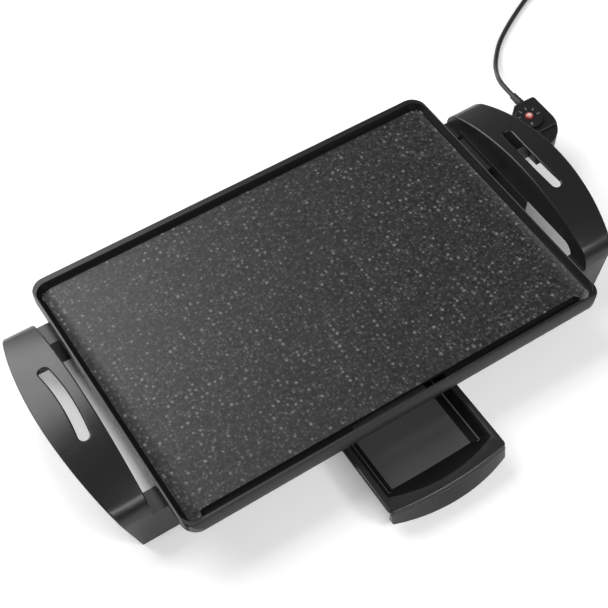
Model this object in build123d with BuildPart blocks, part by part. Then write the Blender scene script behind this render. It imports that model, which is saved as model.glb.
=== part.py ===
"""Electric griddle: cast plate, two handle legs, drip tray on rails and a plug-in temperature control.

Millimetres. The origin is on the table, midway between the handles. +X points to the side with the
temperature control, +Y to the back, and +Z up. The tray stands partly drawn out.
"""
import os
from math import pi, radians, sqrt, tan

from build123d import *

# Plate
plate_length = 424.0
plate_end_x = plate_length / 2
plate_depth = 284.2
plate_middle_y = -1.1
rim_top = 54.0
edge_height = 11.0
edge_draft = 3.0
plate_corner = 15.0
side_crest = 2.0
back_crest = 6.0
front_crest = 5.6
front_slope_depth = 4.2
front_slope_drop = 6.0
rim_slope = 5.0
floor_depth = 5.0
floor_thickness = 4.0
skirt_wall = 5.0
rim_round = 0.7
lip_width = 1.4
lip_drop = 0.8
lip_length = plate_length - 36.0
channel_width = 8.4
channel_depth = 2.0
drain_length = 96.0
drain_width = 8.0

# Handles
handle_inner_x = plate_end_x + 13.0
handle_outer_x = handle_inner_x + 45.0
handle_inner_top = 79.0
handle_outer_top = 75.5
inner_arch_radius = 225.0
outer_arch_radius = 265.0
plan_radius = 640.0
flare_angle = 16.5
handle_shoulder_y = 105.0
handle_foot_y = 109.0
shoulder_round = 22.0
handle_wall = 3.0
arch_half_width = 85.0
arch_height = 47.0
arch_outer_height = 56.0
arch_round = 12.0
leg_inner_x = plate_end_x - 24.0
leg_bottom = 2.0
ledge_top = 38.0
slot_middle_x = handle_inner_x + 15.6
slot_end_x = handle_inner_x + 18.0
slot_middle_y = 3.5
slot_half_length = 35.2
slot_width = 9.6
handle_screw_x = plate_end_x - 13.0
handle_screw_y = 97.0
handle_boss_diameter = 12.0
foot_plug_height = 4.0
foot_clearance = 0.1
foot_inset = 1.0

# Tray and rails
tray_half_width = 60.0
tray_opening_half_width = 53.5
tray_front_y = -205.5
tray_front_bow = 5.0
tray_opening_front_y = -192.0
tray_opening_bow = 10.5
tray_back_y = -54.0
tray_closing_travel = 48.0
tray_back_rim = 5.0
tray_rim_top = 27.0
tray_rim_thickness = 3.0
tray_rim_round = 2.0
tray_corner = 5.0
tray_floor_top = 12.0
tray_floor_half_width = 41.0
tray_floor_front_y = -182.0
tray_floor_bow = 0.5
tray_floor_back_y = -62.0
tray_break_half_width = 47.0
tray_break_depth = 10.0
tray_wall = 2.0
apron_front_y = -203.0
apron_half_width = 56.0
apron_bottom = 11.0
fascia_half_width = 58.5
fascia_gap = 0.8
fascia_bottom = 9.5
fascia_top_corner_y = -206.0
fascia_top_bow = 5.0
fascia_bottom_corner_y = -208.5
fascia_bottom_bow = 11.5
fascia_round = 1.2
fascia_corner = 2.0
fascia_screw_x = 35.0
fascia_screw_z = 18.0
fascia_hole_depth = 5.5
sheet = 1.2
runner_gap = 0.3
runner_side_gap = 0.6
runner_flange = 4.0
rail_front_y = -128.0
rail_stop_gap = 0.5
rail_web_top = 34.0
rail_tab_length = 20.0
rail_tab_width = 18.0
rail_boss_bottom = 40.0
rail_boss_diameter = 9.0

# Element, terminals and their guard
element_diameter = 7.0
element_gap = 0.3
element_half_length = plate_end_x - 47.0
element_half_depth = 75.0
element_bend = 14.0
back_lead = 22.0
back_climb = 15.0
front_lead = 18.0
front_climb = 16.0
terminal_y = 56.0
terminal_z = 31.0
pin_spacing = 19.0
pin_diameter = 4.8
pin_root_x = element_half_length + 29.0
pin_tip_x = plate_end_x + 28.0
sensor_boss_inner_x = plate_end_x - 34.0
sensor_boss_outer_x = plate_end_x - 8.0
sensor_boss_width = 10.0
sensor_boss_bottom = 26.0
guard_back_x = plate_end_x - 6.0
guard_face_x = plate_end_x + 11.3
guard_half_width = 22.0
guard_bottom = 20.0
guard_face_front_y = -20.0
guard_face_back_y = 84.0
guard_face_bottom = 25.0
guard_face_top = 48.0
pin_hole_diameter = 9.0
window_gap = 1.5

# Temperature control
nose_x = plate_end_x + 12.0
neck_x = handle_outer_x + 8.0
head_end_x = neck_x + 37.0
head_back_start_x = neck_x + 13.0
nose_half_width = 17.0
head_front_y = 27.5
head_back_y = 84.5
head_round = 28.0
head_back_round = 3.0
nose_round = 5.0
nose_hole_diameter = 6.0
head_top = 44.5
head_bottom = 17.5
nose_drop = 2.5
step_y = 44.0
step_drop = 2.5
housing_wall = 2.5
housing_round = 1.5
dial_x = neck_x + 14.0
dial_y = 63.0
dial_radius = 13.5
dial_height = 3.2
dial_gap = 0.3
dial_grips = 24
dial_grip_depth = 0.6
dial_round = 0.8
dial_hub_diameter = 14.0
dial_hub_bottom = 33.0
dial_flange = 1.5
lens_diameter = 8.0
lens_gap = 0.3
lens_height = 2.2
running_gap = 0.1
stem_diameter = 6.4
stem_tip_x = sensor_boss_inner_x + 4.0
stem_root_x = nose_x + 39.0
sleeve_outer_diameter = 8.0
sleeve_start_x = nose_x + 7.0
sleeve_end_x = nose_x + 33.0
thermostat_length = 20.0
thermostat_width = 16.0
thermostat_height = 9.0
lamp_diameter = 5.0
lamp_height = 4.0
front_screw_x = neck_x + 5.5
front_screw_y = 33.0
back_screw_x = neck_x + 9.5
back_screw_y = 75.5
housing_boss_diameter = 7.0

# Screws
screw_shank = 4.0
screw_head = 8.0
screw_head_height = 2.5
small_screw_shank = 3.0
small_screw_head = 6.0
small_screw_head_height = 2.0
screw_clearance = 0.1
screw_tip_gap = 1.0
screw_hole = screw_shank + 2 * screw_clearance
small_screw_hole = small_screw_shank + 2 * screw_clearance

# Cord, coil and plug
cord_diameter = 5.0
bend_share = 0.45
cord_exit_x = head_end_x - 8.0
boot_length = 20.0
boot_root_diameter = 9.0
boot_tip_diameter = 7.2
boot_flange = 2.0
boot_flange_diameter = 10.4
cord_route = [
    (cord_exit_x, head_back_y + boot_length, terminal_z),
    (cord_exit_x, 119.5, terminal_z),
    (cord_exit_x + 5.5, 133.6, 25.8),
    (cord_exit_x + 15.8, 147.8, 15.0),
    (cord_exit_x + 27.5, 164.0, 6.0),
    (cord_exit_x + 40.0, 178.2, 2.6),
    (cord_exit_x + 54.0, 191.5, 2.6),
    (cord_exit_x + 73.5, 204.5, 2.6),
    (cord_exit_x + 95.5, 217.0, 2.6),
    (cord_exit_x + 118.0, 228.5, 2.6),
    (cord_exit_x + 143.0, 239.0, 3.7),
    (cord_exit_x + 168.0, 248.0, 3.7),
]
coil_outer_radius = 34.0
coil_pitch = 5.6
coil_turns_per_layer = 2
coil_end_run = 30.0
tie_thickness = 0.8
tie_width = 8.0
tie_gap = 0.3
plug_boot_length = 14.0
plug_length = 30.0
plug_width = 26.0
plug_round = 3.0
blade_length = 17.0
blade_width = 6.3
blade_thickness = 1.5
blade_spacing = 12.7
blade_embed = 6.0

# Sizes that follow from the ones above
plate_bottom = rim_top - edge_height
floor_top = rim_top - floor_depth
plate_underside = floor_top - floor_thickness
front_edge_y = plate_middle_y - plate_depth / 2
back_edge_y = plate_middle_y + plate_depth / 2
lip_back_y = front_edge_y + front_crest + lip_width
channel_y = lip_back_y + channel_width / 2
element_z = plate_underside - element_gap - element_diameter / 2
rail_inner_x = tray_half_width + runner_side_gap
rail_outer_x = rail_inner_x + sheet
runner_top = tray_rim_top - tray_rim_thickness - runner_gap
keeper_bottom = tray_rim_top + runner_gap
rail_back_y = tray_back_y + tray_closing_travel + rail_stop_gap + sheet
rail_tab_y = [rail_front_y + rail_tab_length / 2, rail_back_y - rail_tab_length / 2]
rail_screw_x = rail_outer_x + rail_tab_width / 2
split_z = terminal_z
rail_points = [(side * rail_screw_x, y) for side in (-1, 1) for y in rail_tab_y]
handle_points = [(x, y) for x in (-handle_screw_x, handle_screw_x)
                 for y in (-handle_screw_y, handle_screw_y)]
pin_y = [terminal_y - pin_spacing / 2, terminal_y + pin_spacing / 2]

os.makedirs("parts", exist_ok=True)


def save(name, part):
    """Label a finished piece and write it."""
    part.label = name
    export_step(part, f"parts/{name}.step")


def box_between(x0, x1, y0, y1, z0, z1, mode=Mode.ADD):
    """A box given by its limits."""
    with Locations(((x0 + x1) / 2, (y0 + y1) / 2, (z0 + z1) / 2)):
        Box(x1 - x0, y1 - y0, z1 - z0, mode=mode)


def upright(points, diameter, z0, z1, mode=Mode.ADD):
    """Upright cylinders between two heights."""
    with Locations(*[(x, y, (z0 + z1) / 2) for x, y in points]):
        Cylinder(diameter / 2, z1 - z0, mode=mode)


def along_x(y_values, z, diameter, x0, x1, mode=Mode.ADD):
    """Cylinders that lie along X."""
    with Locations(*[((x0 + x1) / 2, y, z) for y in y_values]):
        Cylinder(diameter / 2, x1 - x0, rotation=(0, 90, 0), mode=mode)


def screws_up(points, shank, head, head_height, seat_z, tip_z):
    """Screws with the head below and the shank pointing up."""
    upright(points, head, seat_z - head_height, seat_z)
    upright(points, shank, seat_z, tip_z)


# Plate
with BuildPart() as plate:
    with BuildSketch(Plane.XY.offset(rim_top)):
        with Locations((0, plate_middle_y)):
            RectangleRounded(plate_length, plate_depth, plate_corner)
    extrude(amount=-edge_height, taper=edge_draft)
    pan_front = front_edge_y + front_crest
    pan_back = back_edge_y - back_crest
    pan_half = plate_end_x - side_crest
    with BuildSketch(Plane.XY.offset(rim_top)):
        with Locations((0, (pan_front + pan_back) / 2)):
            RectangleRounded(2 * pan_half, pan_back - pan_front, plate_corner - side_crest)
    with BuildSketch(Plane.XY.offset(floor_top)):
        with Locations((0, (pan_front + pan_back - rim_slope) / 2)):
            RectangleRounded(2 * (pan_half - rim_slope), pan_back - rim_slope - pan_front,
                             plate_corner - rim_slope)
    loft(mode=Mode.SUBTRACT)
    box_between(-lip_length / 2, lip_length / 2, pan_front, lip_back_y, floor_top, rim_top - lip_drop)
    with BuildSketch(Plane.XY.offset(floor_top)):
        with Locations((0, channel_y)):
            SlotOverall(lip_length, channel_width)
    extrude(amount=-channel_depth, mode=Mode.SUBTRACT)
    with BuildSketch(Plane.XY.offset(floor_top)):
        with Locations((0, channel_y)):
            SlotOverall(drain_length, drain_width)
    extrude(amount=-2 * floor_thickness, mode=Mode.SUBTRACT)
    with BuildSketch(Plane.YZ.offset(-plate_end_x)):
        with BuildLine():
            slope_foot_z = rim_top - front_slope_drop
            Polyline((front_edge_y, slope_foot_z), (front_edge_y + front_slope_depth, rim_top),
                     (front_edge_y, 2 * rim_top), (2 * front_edge_y, slope_foot_z), close=True)
        make_face()
    extrude(amount=plate_length, mode=Mode.SUBTRACT)
    fillet(plate.edges().group_by(Axis.Z)[-1], rim_round)
    with BuildSketch(Plane.XY.offset(plate_bottom)):
        with Locations((0, plate_middle_y)):
            RectangleRounded(plate_length - 2 * skirt_wall, plate_depth - 2 * skirt_wall,
                             plate_corner - skirt_wall)
    extrude(amount=plate_underside - plate_bottom, mode=Mode.SUBTRACT)
    upright(handle_points, handle_boss_diameter, ledge_top, plate_underside)
    upright(rail_points, rail_boss_diameter, rail_boss_bottom, plate_underside)
    box_between(sensor_boss_inner_x, sensor_boss_outer_x, terminal_y - sensor_boss_width / 2,
                terminal_y + sensor_boss_width / 2, sensor_boss_bottom, plate_underside)
    upright(handle_points, screw_hole, ledge_top, plate_underside, Mode.SUBTRACT)
    upright(rail_points, small_screw_hole, rail_boss_bottom, plate_underside, Mode.SUBTRACT)
    along_x([terminal_y], terminal_z, stem_diameter + 2 * running_gap, stem_tip_x - screw_tip_gap,
            sensor_boss_outer_x, Mode.SUBTRACT)
save("griddle_plate", plate.part)


# Handles
def handle_block(inset, inner_x):
    """The solid that fills a handle, drawn in by an inset on its top, ends and outer side."""
    far_x = handle_outer_x + handle_wall
    with BuildPart() as block:
        for x in (inner_x, far_x):
            share = (x - handle_inner_x) / (handle_outer_x - handle_inner_x)
            top = handle_inner_top + share * (handle_outer_top - handle_inner_top) - inset
            radius = inner_arch_radius + share * (outer_arch_radius - inner_arch_radius) - inset
            shoulder = handle_shoulder_y - inset
            foot = handle_foot_y - inset
            shoulder_z = top - radius + sqrt(radius ** 2 - shoulder ** 2)
            with BuildSketch(Plane.YZ.offset(x)):
                with BuildLine():
                    ThreePointArc((-shoulder, shoulder_z), (0, top), (shoulder, shoulder_z))
                    Polyline((shoulder, shoulder_z), (foot, leg_bottom), (-foot, leg_bottom),
                             (-shoulder, shoulder_z))
                make_face()
                fillet(vertices().group_by(Axis.Y)[-1], shoulder_round - inset)
        loft(ruled=True)
        start_z = handle_inner_top + handle_wall
        edge_x = handle_outer_x + (start_z - handle_outer_top) * tan(radians(flare_angle)) - inset
        reach = handle_foot_y + handle_inner_top
        side_x = edge_x - plan_radius + sqrt(plan_radius ** 2 - reach ** 2)
        root_x = leg_inner_x - handle_inner_top
        with BuildSketch(Plane.XY.offset(start_z)):
            with BuildLine():
                ThreePointArc((side_x, -reach), (edge_x, 0), (side_x, reach))
                Polyline((side_x, reach), (root_x, reach), (root_x, -reach), (side_x, -reach))
            make_face()
        extrude(amount=leg_bottom - start_z, taper=flare_angle, mode=Mode.INTERSECT)
    return block.part


with BuildPart() as handle_hollow:
    add(handle_block(handle_wall, leg_inner_x + handle_wall))
    box_between(0, handle_inner_x + handle_wall, -handle_foot_y, handle_foot_y, ledge_top - handle_wall,
                handle_inner_top, Mode.SUBTRACT)
    for side in (-1, 1):
        web = sorted((side * arch_half_width, side * (arch_half_width + handle_wall)))
        box_between(0, 2 * handle_outer_x, web[0], web[1], 0, handle_inner_top, Mode.SUBTRACT)
    box_between(0, 2 * handle_outer_x, -arch_half_width, arch_half_width, 0, arch_height - arch_round,
                Mode.SUBTRACT)


def arch_outline(x, height):
    """The outline of the arch under a handle, on the plane across X at the given place."""
    with BuildSketch(Plane.YZ.offset(x)) as outline:
        Rectangle(2 * arch_half_width, 2 * height)
        fillet(vertices(), arch_round)
    return outline.sketch


with BuildPart() as handle:
    add(handle_block(0, leg_inner_x))
    box_between(0, handle_inner_x, -handle_foot_y, handle_foot_y, ledge_top, 2 * handle_inner_top,
                Mode.SUBTRACT)
    add(handle_hollow.part, mode=Mode.SUBTRACT)
    extrude(arch_outline(0, arch_height), amount=handle_inner_x, mode=Mode.SUBTRACT)
    loft([arch_outline(handle_inner_x, arch_height), arch_outline(handle_outer_x, arch_outer_height)],
         ruled=True, mode=Mode.SUBTRACT)
    with BuildLine() as slot_line:
        ThreePointArc((slot_end_x, slot_middle_y - slot_half_length), (slot_middle_x, slot_middle_y),
                      (slot_end_x, slot_middle_y + slot_half_length))
    with BuildSketch(Plane.XY.offset(arch_height)):
        SlotArc(slot_line.edge(), slot_width)
    extrude(amount=handle_inner_top, mode=Mode.SUBTRACT)
    upright([(handle_screw_x, -handle_screw_y), (handle_screw_x, handle_screw_y)], screw_hole, leg_bottom,
            ledge_top, Mode.SUBTRACT)
save("right_handle", handle.part)
left_handle = mirror(handle.part, about=Plane.YZ, mode=Mode.PRIVATE)
save("left_handle", left_handle)

with BuildPart() as handle_screws:
    screws_up(handle_points, screw_shank, screw_head, screw_head_height, ledge_top - handle_wall,
              plate_underside - screw_tip_gap)
save("handle_screws", handle_screws.part)


def handle_side_x(y, z):
    """Where the flared outer side of a handle stands at a given place along it and height."""
    drawn_in = (handle_outer_top - z) * tan(radians(flare_angle))
    return handle_outer_x - plan_radius + sqrt((plan_radius - drawn_in) ** 2 - y ** 2)


with BuildPart() as rubber_feet:
    pad_outer_x = handle_side_x(handle_foot_y, leg_bottom) - foot_inset
    plug_outer_x = pad_outer_x - handle_wall - foot_clearance
    plug_inner_x = leg_inner_x + handle_wall + foot_clearance
    for side in (-1, 1):
        for end in (-1, 1):
            pad_x = sorted((side * (leg_inner_x + foot_inset), side * pad_outer_x))
            pad_y = sorted((end * (arch_half_width + foot_inset), end * (handle_foot_y - foot_inset)))
            box_between(*pad_x, *pad_y, 0, leg_bottom)
            plug_x = sorted((side * plug_inner_x, side * plug_outer_x))
            plug_y = sorted((end * (arch_half_width + handle_wall + foot_clearance),
                             end * (handle_foot_y - 2 * handle_wall)))
            box_between(*plug_x, *plug_y, leg_bottom, leg_bottom + foot_plug_height)
save("rubber_feet", rubber_feet.part)

# Rails
runner_inner_x = rail_inner_x - runner_flange
with BuildPart() as rail:
    box_between(rail_inner_x, rail_outer_x, rail_front_y, rail_back_y, runner_top - sheet, rail_web_top)
    box_between(runner_inner_x, rail_inner_x, rail_front_y, rail_back_y, runner_top - sheet, runner_top)
    box_between(runner_inner_x, rail_inner_x, rail_front_y, rail_back_y, keeper_bottom,
                keeper_bottom + sheet)
    box_between(runner_inner_x, rail_inner_x, rail_back_y - sheet, rail_back_y, runner_top, keeper_bottom)
    for y in rail_tab_y:
        tab_y = (y - rail_tab_length / 2, y + rail_tab_length / 2)
        box_between(rail_inner_x, rail_outer_x, *tab_y, rail_web_top, rail_boss_bottom)
        box_between(rail_outer_x, rail_outer_x + rail_tab_width, *tab_y, rail_boss_bottom - sheet,
                    rail_boss_bottom)
    upright([(rail_screw_x, y) for y in rail_tab_y], small_screw_hole, rail_boss_bottom - sheet,
            rail_boss_bottom, Mode.SUBTRACT)
save("right_tray_rail", rail.part)
left_rail = mirror(rail.part, about=Plane.YZ, mode=Mode.PRIVATE)
save("left_tray_rail", left_rail)

with BuildPart() as rail_screws:
    screws_up(rail_points, small_screw_shank, small_screw_head, small_screw_head_height,
              rail_boss_bottom - sheet, plate_underside - screw_tip_gap)
save("rail_screws", rail_screws.part)


# Tray
def bowed_outline(half_width, front_y, bow, back_y, z):
    """A plan outline with straight sides and back and a bowed front."""
    with BuildSketch(Plane.XY.offset(z)) as outline:
        with BuildLine():
            ThreePointArc((-half_width, front_y), (0, front_y - bow), (half_width, front_y))
            Polyline((half_width, front_y), (half_width, back_y), (-half_width, back_y),
                     (-half_width, front_y))
        make_face()
    return outline.sketch


def basin_outline(half_width, share, wall, z):
    """Plan of the basin at a share of the way from the opening in the rim down to the floor."""
    opening_back_y = tray_back_y - tray_back_rim
    front_y = tray_opening_front_y + share * (tray_floor_front_y - tray_opening_front_y)
    bow = tray_opening_bow + share * (tray_floor_bow - tray_opening_bow)
    back_y = opening_back_y + share * (tray_floor_back_y - opening_back_y)
    return bowed_outline(half_width + wall, front_y - wall, bow, back_y + wall, z)


def tray_basin(wall, top_z, mode=Mode.ADD):
    """The basin, or its hollow: steep sides down to a break, then flatter ones down to the floor."""
    break_share = tray_break_depth / (tray_rim_top - tray_floor_top)
    break_z = tray_rim_top - tray_break_depth - wall
    opening = basin_outline(tray_opening_half_width, 0, wall, top_z)
    middle = basin_outline(tray_break_half_width, break_share, wall, break_z)
    floor = basin_outline(tray_floor_half_width, 1, wall, tray_floor_top - wall)
    loft([opening, middle, floor], ruled=True, mode=mode)


rim_bottom = tray_rim_top - tray_rim_thickness
with BuildPart() as tray:
    extrude(bowed_outline(tray_half_width, tray_front_y, tray_front_bow, tray_back_y, rim_bottom),
            amount=tray_rim_thickness)
    fillet(tray.edges().filter_by(Axis.Z).group_by(Axis.Y)[0], tray_corner)
    fillet(tray.faces().sort_by(Axis.Z)[-1].outer_wire().edges(), tray_rim_round)
    box_between(-apron_half_width, apron_half_width, apron_front_y, apron_front_y + tray_wall, apron_bottom,
                rim_bottom)
    tray_basin(tray_wall, tray_rim_top - tray_rim_thickness / 2)
    tray_basin(0, tray_rim_top, Mode.SUBTRACT)
    with Locations(*[(x, apron_front_y, fascia_screw_z) for x in (-fascia_screw_x, fascia_screw_x)]):
        Cylinder(small_screw_hole / 2, 3 * tray_wall, rotation=(90, 0, 0), mode=Mode.SUBTRACT)
save("drip_tray", tray.part)

fascia_hole_end_y = apron_front_y - fascia_hole_depth
with BuildPart() as fascia:
    loft([bowed_outline(fascia_half_width, fascia_top_corner_y, fascia_top_bow, apron_front_y,
                        rim_bottom - fascia_gap),
          bowed_outline(fascia_half_width, fascia_bottom_corner_y, fascia_bottom_bow, apron_front_y,
                        fascia_bottom)], ruled=True)
    fillet(fascia.edges().filter_by(GeomType.LINE).group_by(Axis.Y)[0], fascia_corner)
    fillet(fascia.edges().filter_by(GeomType.CIRCLE), fascia_round)
    with Locations(*[(x, (apron_front_y + fascia_hole_end_y) / 2, fascia_screw_z)
                     for x in (-fascia_screw_x, fascia_screw_x)]):
        Cylinder(small_screw_hole / 2, fascia_hole_depth, rotation=(90, 0, 0), mode=Mode.SUBTRACT)
save("tray_front", fascia.part)

with BuildPart() as tray_front_screws:
    seat_y = apron_front_y + tray_wall
    tip_y = fascia_hole_end_y + screw_tip_gap
    for x in (-fascia_screw_x, fascia_screw_x):
        with Locations((x, (seat_y + tip_y) / 2, fascia_screw_z)):
            Cylinder(small_screw_shank / 2, seat_y - tip_y, rotation=(90, 0, 0))
        with Locations((x, seat_y + small_screw_head_height / 2, fascia_screw_z)):
            Cylinder(small_screw_head / 2, small_screw_head_height, rotation=(90, 0, 0))
save("tray_front_screws", tray_front_screws.part)

# Element, terminals and guard
element_points = [
    (pin_root_x, pin_y[1], terminal_z),
    (pin_root_x - back_lead, pin_y[1], terminal_z),
    (element_half_length - back_climb, element_half_depth, element_z),
    (-element_half_length, element_half_depth, element_z),
    (-element_half_length, -element_half_depth, element_z),
    (element_half_length, -element_half_depth, element_z),
    (element_half_length, pin_y[0] - front_climb, element_z),
    (pin_root_x - front_lead, pin_y[0], terminal_z),
    (pin_root_x, pin_y[0], terminal_z),
]
with BuildPart() as element:
    with BuildLine() as element_line:
        FilletPolyline(*element_points, radius=element_bend)
    with BuildSketch(Plane(origin=element_line.line @ 0, z_dir=element_line.line % 0)):
        Circle(element_diameter / 2)
    sweep()
save("heating_element", element.part)

with BuildPart() as pins:
    along_x(pin_y, terminal_z, pin_diameter, pin_root_x, pin_tip_x)
save("terminal_pins", pins.part)

guard_y = (terminal_y - guard_half_width, terminal_y + guard_half_width)
window_y = (terminal_y - nose_half_width - window_gap, terminal_y + nose_half_width + window_gap)
window_top = head_top - nose_drop + window_gap
with BuildPart() as guard:
    box_between(guard_back_x, guard_face_x, *guard_y, guard_bottom, plate_bottom)
    box_between(guard_back_x + sheet, guard_face_x, guard_y[0] + sheet, guard_y[1] - sheet,
                guard_bottom + sheet, plate_bottom - sheet, Mode.SUBTRACT)
    box_between(guard_face_x, guard_face_x + sheet, guard_face_front_y, guard_face_back_y,
                guard_face_bottom, guard_face_top)
    box_between(guard_face_x, guard_face_x + sheet, *window_y, guard_face_bottom, window_top,
                Mode.SUBTRACT)
    along_x(pin_y + [terminal_y], terminal_z, pin_hole_diameter, guard_back_x, guard_back_x + sheet,
            Mode.SUBTRACT)
save("terminal_guard", guard.part)


# Temperature control
def control_outline(inset, z):
    """Plan of the control: a narrow nose and a wider head with one large round corner."""
    nose_y = (terminal_y - nose_half_width, terminal_y + nose_half_width)
    round_start = (head_end_x, head_front_y + head_round)
    round_end = (head_end_x - head_round, head_front_y)
    with BuildSketch(Plane.XY.offset(z)) as outline:
        with BuildLine():
            Polyline(round_end, (neck_x, head_front_y), (neck_x, nose_y[0]), (nose_x, nose_y[0]),
                     (nose_x, nose_y[1]), (neck_x, nose_y[1]), (head_back_start_x, head_back_y),
                     (head_end_x, head_back_y), round_start)
            RadiusArc(round_start, round_end, head_round)
        make_face()
        fillet(vertices().group_by(Axis.X)[0], nose_round)
        fillet(vertices().group_by(Axis.X)[-1].sort_by(Axis.Y)[-1:], head_back_round)
        if inset:
            offset(amount=-inset, mode=Mode.REPLACE)
    return outline.sketch


def control_openings():
    """Holes that both halves of the housing share: pins, stem and cord boot."""
    along_x(pin_y, terminal_z, nose_hole_diameter, nose_x, nose_x + housing_wall, Mode.SUBTRACT)
    along_x([terminal_y], terminal_z, stem_diameter + 2 * screw_clearance, nose_x, nose_x + housing_wall,
            Mode.SUBTRACT)
    with Locations((cord_exit_x, head_back_y - housing_wall / 2, terminal_z)):
        Cylinder(boot_root_diameter / 2 + screw_clearance, housing_wall, rotation=(90, 0, 0),
                 mode=Mode.SUBTRACT)


cavity_floor = head_bottom + nose_drop + housing_wall
cavity_ceiling = head_top - nose_drop - housing_wall
dial_centre = [(dial_x, dial_y)]
dial_bottom = head_top + dial_gap
dial_top = dial_bottom + dial_height
thermostat_top = cavity_floor + thermostat_height
housing_screws = [(front_screw_x, front_screw_y), (back_screw_x, back_screw_y)]

with BuildPart() as upper_housing:
    extrude(control_outline(0, split_z), amount=head_top - split_z)
    box_between(nose_x, neck_x, head_front_y, head_back_y, head_top - nose_drop, head_top, Mode.SUBTRACT)
    box_between(neck_x, head_end_x, head_front_y, step_y, head_top - step_drop, head_top, Mode.SUBTRACT)
    fillet(upper_housing.faces().sort_by(Axis.Z)[-1].outer_wire().edges(), housing_round)
    extrude(control_outline(housing_wall, split_z), amount=cavity_ceiling - split_z, mode=Mode.SUBTRACT)
    upright(housing_screws, housing_boss_diameter, split_z, cavity_ceiling)
    upright(housing_screws, small_screw_hole, split_z, cavity_ceiling, Mode.SUBTRACT)
    upright(dial_centre, dial_hub_diameter + 2 * running_gap, split_z, head_top, Mode.SUBTRACT)
    control_openings()
save("probe_upper_housing", upper_housing.part)

with BuildPart() as lower_housing:
    extrude(control_outline(0, head_bottom), amount=split_z - head_bottom)
    box_between(nose_x, neck_x, head_front_y, head_back_y, head_bottom, head_bottom + nose_drop,
                Mode.SUBTRACT)
    fillet(lower_housing.faces().sort_by(Axis.Z)[0].outer_wire().edges(), housing_round)
    extrude(control_outline(housing_wall, cavity_floor), amount=split_z - cavity_floor, mode=Mode.SUBTRACT)
    upright(housing_screws, housing_boss_diameter, cavity_floor, split_z)
    upright(housing_screws, small_screw_hole, head_bottom, split_z, Mode.SUBTRACT)
    upright(housing_screws, small_screw_head + 4 * screw_clearance, head_bottom,
            head_bottom + small_screw_head_height, Mode.SUBTRACT)
    control_openings()
save("probe_lower_housing", lower_housing.part)

with BuildPart() as probe_screws:
    screws_up(housing_screws, small_screw_shank, small_screw_head, small_screw_head_height,
              head_bottom + small_screw_head_height, cavity_ceiling - screw_tip_gap)
save("probe_screws", probe_screws.part)

with BuildPart() as dial:
    upright(dial_centre, 2 * dial_radius, dial_bottom, dial_top)
    fillet(dial.edges().group_by(Axis.Z)[-1], dial_round)
    with Locations((dial_x, dial_y, (dial_bottom + dial_top) / 2)):
        with PolarLocations(dial_radius, dial_grips):
            Cylinder(dial_grip_depth, dial_height, mode=Mode.SUBTRACT)
    upright(dial_centre, dial_hub_diameter, dial_hub_bottom, dial_bottom)
    upright(dial_centre, dial_hub_diameter + 2 * dial_flange, cavity_ceiling - dial_gap - dial_flange,
            cavity_ceiling - dial_gap)
    upright(dial_centre, lens_diameter + 2 * lens_gap, dial_hub_bottom, dial_top, Mode.SUBTRACT)
save("probe_dial", dial.part)

with BuildPart() as lens:
    upright(dial_centre, lens_diameter, thermostat_top, dial_top + lens_height)
    fillet(lens.edges().group_by(Axis.Z)[-1], lens_height)
    upright(dial_centre, lamp_diameter + 2 * lens_gap, thermostat_top,
            thermostat_top + lamp_height + lens_gap, Mode.SUBTRACT)
save("indicator_lens", lens.part)

with BuildPart() as lamp:
    upright(dial_centre, lamp_diameter, thermostat_top, thermostat_top + lamp_height)
save("neon_lamp", lamp.part)

with BuildPart() as thermostat:
    with Locations((dial_x, dial_y, cavity_floor + thermostat_height / 2)):
        Box(thermostat_length, thermostat_width, thermostat_height)
save("thermostat", thermostat.part)

with BuildPart() as stem:
    along_x([terminal_y], terminal_z, stem_diameter, stem_tip_x, stem_root_x)
    fillet(stem.edges().group_by(Axis.X)[0], stem_diameter / 4)
save("probe_stem", stem.part)

with BuildPart() as contacts:
    along_x(pin_y, terminal_z, sleeve_outer_diameter, sleeve_start_x, sleeve_end_x)
    along_x(pin_y, terminal_z, pin_diameter + 2 * running_gap, sleeve_start_x, sleeve_end_x, Mode.SUBTRACT)
save("probe_contacts", contacts.part)

with BuildPart() as boot:
    with Locations((cord_exit_x, head_back_y + boot_length / 2, terminal_z)):
        Cone(boot_root_diameter / 2, boot_tip_diameter / 2, boot_length, rotation=(-90, 0, 0))
    with Locations((cord_exit_x, head_back_y - housing_wall / 2, terminal_z)):
        Cylinder(boot_root_diameter / 2, housing_wall, rotation=(90, 0, 0))
    with Locations((cord_exit_x, head_back_y - housing_wall - boot_flange / 2, terminal_z)):
        Cylinder(boot_flange_diameter / 2, boot_flange, rotation=(90, 0, 0))
save("cord_strain_relief", boot.part)


# Cord
def corner_radii(points):
    """The largest comfortable bend at each inner point of a route."""
    radii = []
    for before, corner, after in zip(points, points[1:], points[2:]):
        run_in = Vector(*corner) - Vector(*before)
        run_out = Vector(*after) - Vector(*corner)
        half_turn = radians(run_in.get_angle(run_out)) / 2
        radii.append(bend_share * min(run_in.length, run_out.length) / tan(half_turn))
    return radii


cord_radii = corner_radii(cord_route)
print("cord bend radii", [round(radius) for radius in cord_radii])
with BuildPart() as cord:
    with BuildLine() as cord_line:
        FilletPolyline(*cord_route, radius=cord_radii)
    with BuildSketch(Plane(origin=cord_line.line @ 0, z_dir=cord_line.line % 0)):
        Circle(cord_diameter / 2)
    sweep()
cord_section = pi * cord_diameter ** 2 / 4
cord_length = cord_line.wire().length
print("cord length", cord_length, "volume ratio", cord.part.volume / (cord_section * cord_length))
save("power_cord", cord.part)

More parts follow.
